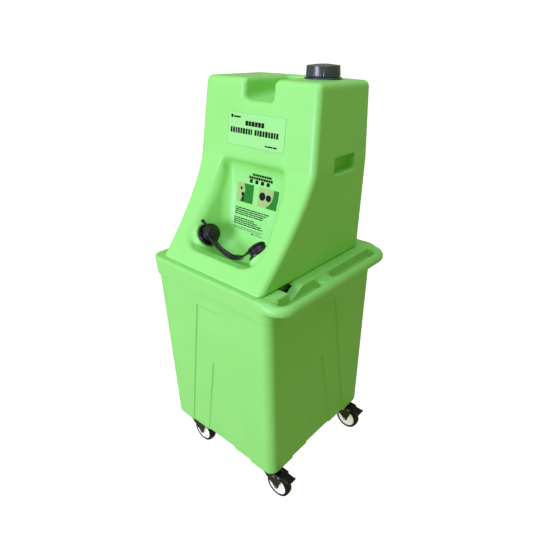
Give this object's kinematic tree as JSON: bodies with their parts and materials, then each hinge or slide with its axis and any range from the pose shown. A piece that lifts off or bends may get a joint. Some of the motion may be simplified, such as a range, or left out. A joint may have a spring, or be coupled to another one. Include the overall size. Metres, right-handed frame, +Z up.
{
  "type": "portable eyewash station",
  "caption": "Gravity-fed eyewash tank with a recessed bowl, capped nozzles and pull strap, standing on a wheeled waste-water tub with a push handle.",
  "frame": {"origin": "on the floor under the centre of the bounding box", "axes": "+X is the right-hand side seen from the front, where the push handle is; the bowl faces -Y; +Z up"},
  "size_m": [0.7179, 0.6946, 1.6976],
  "materials": {
    "cart_green": "moulded polyethylene, satin",
    "tank_green": "moulded polyethylene, satin",
    "black_fitting": "injection moulded",
    "grey_fitting": "injection moulded",
    "seal_rubber": "soft seal",
    "black_rubber": "moulded rubber",
    "steel": "plated",
    "zinc_steel": "zinc plated",
    "black_steel": "black coated pressing",
    "hub_white": "moulded",
    "tyre_black": "moulded rubber",
    "label_film": "printed film"
  },
  "bodies": {
    "cart": {"cart_tub": "cart_green", "cart_top": "cart_green", "rim_screw_left_front": "steel", "rim_screw_left_rear": "steel", "rim_screw_right_front": "steel", "rim_screw_right_rear": "steel", "waste_plug_boss": "black_fitting", "caster_plate_front_left": "zinc_steel", "caster_race_front_left": "black_steel", "caster_plate_rear_left": "zinc_steel", "caster_race_rear_left": "black_steel", "caster_plate_front_right": "zinc_steel", "caster_race_front_right": "black_steel", "caster_plate_rear_right": "zinc_steel", "caster_race_rear_right": "black_steel"},
    "tank": {"tank_shell": "tank_green", "filler_neck": "grey_fitting", "filler_nut": "grey_fitting", "nozzle_left": "black_rubber", "nozzle_right": "black_rubber", "bowl_strainer": "steel", "drain_spout": "black_fitting", "label_front": "label_film", "label_instructions": "label_film"},
    "cap_seal": {"fill_cap_seal": "seal_rubber"},
    "cap": {"fill_cap": "grey_fitting"},
    "strap": {"pull_strap": "black_rubber"},
    "cap_left": {"nozzle_cap_left": "black_rubber"},
    "cap_right": {"nozzle_cap_right": "black_rubber"},
    "plug_seal": {"waste_plug_seal": "seal_rubber"},
    "plug": {"waste_plug": "black_fitting"},
    "swivel_front_left": {"caster_fork_front_left": "black_steel", "caster_axle_front_left": "steel"},
    "wheel_front_left": {"wheel_hub_front_left": "hub_white", "wheel_tyre_front_left": "tyre_black"},
    "brake_front_left": {"brake_pedal_front_left": "black_fitting"},
    "swivel_rear_left": {"caster_fork_rear_left": "black_steel", "caster_axle_rear_left": "steel"},
    "wheel_rear_left": {"wheel_hub_rear_left": "hub_white", "wheel_tyre_rear_left": "tyre_black"},
    "brake_rear_left": {"brake_pedal_rear_left": "black_fitting"},
    "swivel_front_right": {"caster_fork_front_right": "black_steel", "caster_axle_front_right": "steel"},
    "wheel_front_right": {"wheel_hub_front_right": "hub_white", "wheel_tyre_front_right": "tyre_black"},
    "brake_front_right": {"brake_pedal_front_right": "black_fitting"},
    "swivel_rear_right": {"caster_fork_rear_right": "black_steel", "caster_axle_rear_right": "steel"},
    "wheel_rear_right": {"wheel_hub_rear_right": "hub_white", "wheel_tyre_rear_right": "tyre_black"},
    "brake_rear_right": {"brake_pedal_rear_right": "black_fitting"}
  },
  "joints": [
    {"name": "tank_lift", "type": "slide", "parent": "cart", "child": "tank", "axis": [0, 0, 1], "range_m": [0, 0.15]},
    {"name": "cap_rise", "type": "slide", "parent": "tank", "child": "cap_seal", "axis": [0, 0, 1], "range_m": [0, 0.024]},
    {"name": "cap_turn", "type": "hinge", "parent": "cap_seal", "child": "cap", "pos_m": [0.118, 0.152, 1.669], "axis": [0, 0, 1], "range_deg": [0, 1080]},
    {"name": "strap_pull", "type": "slide", "parent": "tank", "child": "strap", "axis": [0, 0.1772, 0.9842], "range_m": [0, 0.05]},
    {"name": "cap_left_off", "type": "slide", "parent": "strap", "child": "cap_left", "axis": [1, 0, 0], "range_m": [0, 0.05659]},
    {"name": "cap_right_off", "type": "slide", "parent": "strap", "child": "cap_right", "axis": [-1, 0, 0], "range_m": [0, 0.05659]},
    {"name": "plug_out", "type": "slide", "parent": "cart", "child": "plug_seal", "axis": [0, 1, 0], "range_m": [0, 0.01]},
    {"name": "plug_turn", "type": "hinge", "parent": "plug_seal", "child": "plug", "pos_m": [-0.033, 0.32, 0.195], "axis": [0, 1, 0], "range_deg": [0, 900]},
    {"name": "swivel_front_left", "type": "hinge", "parent": "cart", "child": "swivel_front_left", "pos_m": [-0.273, -0.262, 0.127], "axis": [0, 0, 1], "continuous": true},
    {"name": "roll_front_left", "type": "hinge", "parent": "swivel_front_left", "child": "wheel_front_left", "pos_m": [-0.215, -0.262, 0.058], "axis": [0, 1, 0], "continuous": true},
    {"name": "brake_front_left", "type": "hinge", "parent": "swivel_front_left", "child": "brake_front_left", "pos_m": [-0.199, -0.262, 0.121], "axis": [0, 1, 0], "range_deg": [0, 14]},
    {"name": "swivel_rear_left", "type": "hinge", "parent": "cart", "child": "swivel_rear_left", "pos_m": [-0.273, 0.262, 0.127], "axis": [0, 0, 1], "continuous": true},
    {"name": "roll_rear_left", "type": "hinge", "parent": "swivel_rear_left", "child": "wheel_rear_left", "pos_m": [-0.215, 0.262, 0.058], "axis": [0, 1, 0], "continuous": true},
    {"name": "brake_rear_left", "type": "hinge", "parent": "swivel_rear_left", "child": "brake_rear_left", "pos_m": [-0.199, 0.262, 0.121], "axis": [0, 1, 0], "range_deg": [0, 14]},
    {"name": "swivel_front_right", "type": "hinge", "parent": "cart", "child": "swivel_front_right", "pos_m": [0.207, -0.262, 0.127], "axis": [0, 0, 1], "continuous": true},
    {"name": "roll_front_right", "type": "hinge", "parent": "swivel_front_right", "child": "wheel_front_right", "pos_m": [0.265, -0.262, 0.058], "axis": [0, 1, 0], "continuous": true},
    {"name": "brake_front_right", "type": "hinge", "parent": "swivel_front_right", "child": "brake_front_right", "pos_m": [0.281, -0.262, 0.121], "axis": [0, 1, 0], "range_deg": [0, 14]},
    {"name": "swivel_rear_right", "type": "hinge", "parent": "cart", "child": "swivel_rear_right", "pos_m": [0.207, 0.262, 0.127], "axis": [0, 0, 1], "continuous": true},
    {"name": "roll_rear_right", "type": "hinge", "parent": "swivel_rear_right", "child": "wheel_rear_right", "pos_m": [0.265, 0.262, 0.058], "axis": [0, 1, 0], "continuous": true},
    {"name": "brake_rear_right", "type": "hinge", "parent": "swivel_rear_right", "child": "brake_rear_right", "pos_m": [0.281, 0.262, 0.121], "axis": [0, 1, 0], "range_deg": [0, 14]}
  ],
  "couplings": [
    {"joint": "cap_rise", "follows": "cap_turn", "m_per_rad": 0.0012732},
    {"joint": "plug_out", "follows": "plug_turn", "m_per_rad": 0.00063662},
    {"joint": "cap_left_off", "follows": "strap_pull", "ratio": 1.1318},
    {"joint": "cap_right_off", "follows": "strap_pull", "ratio": 1.1318}
  ]
}
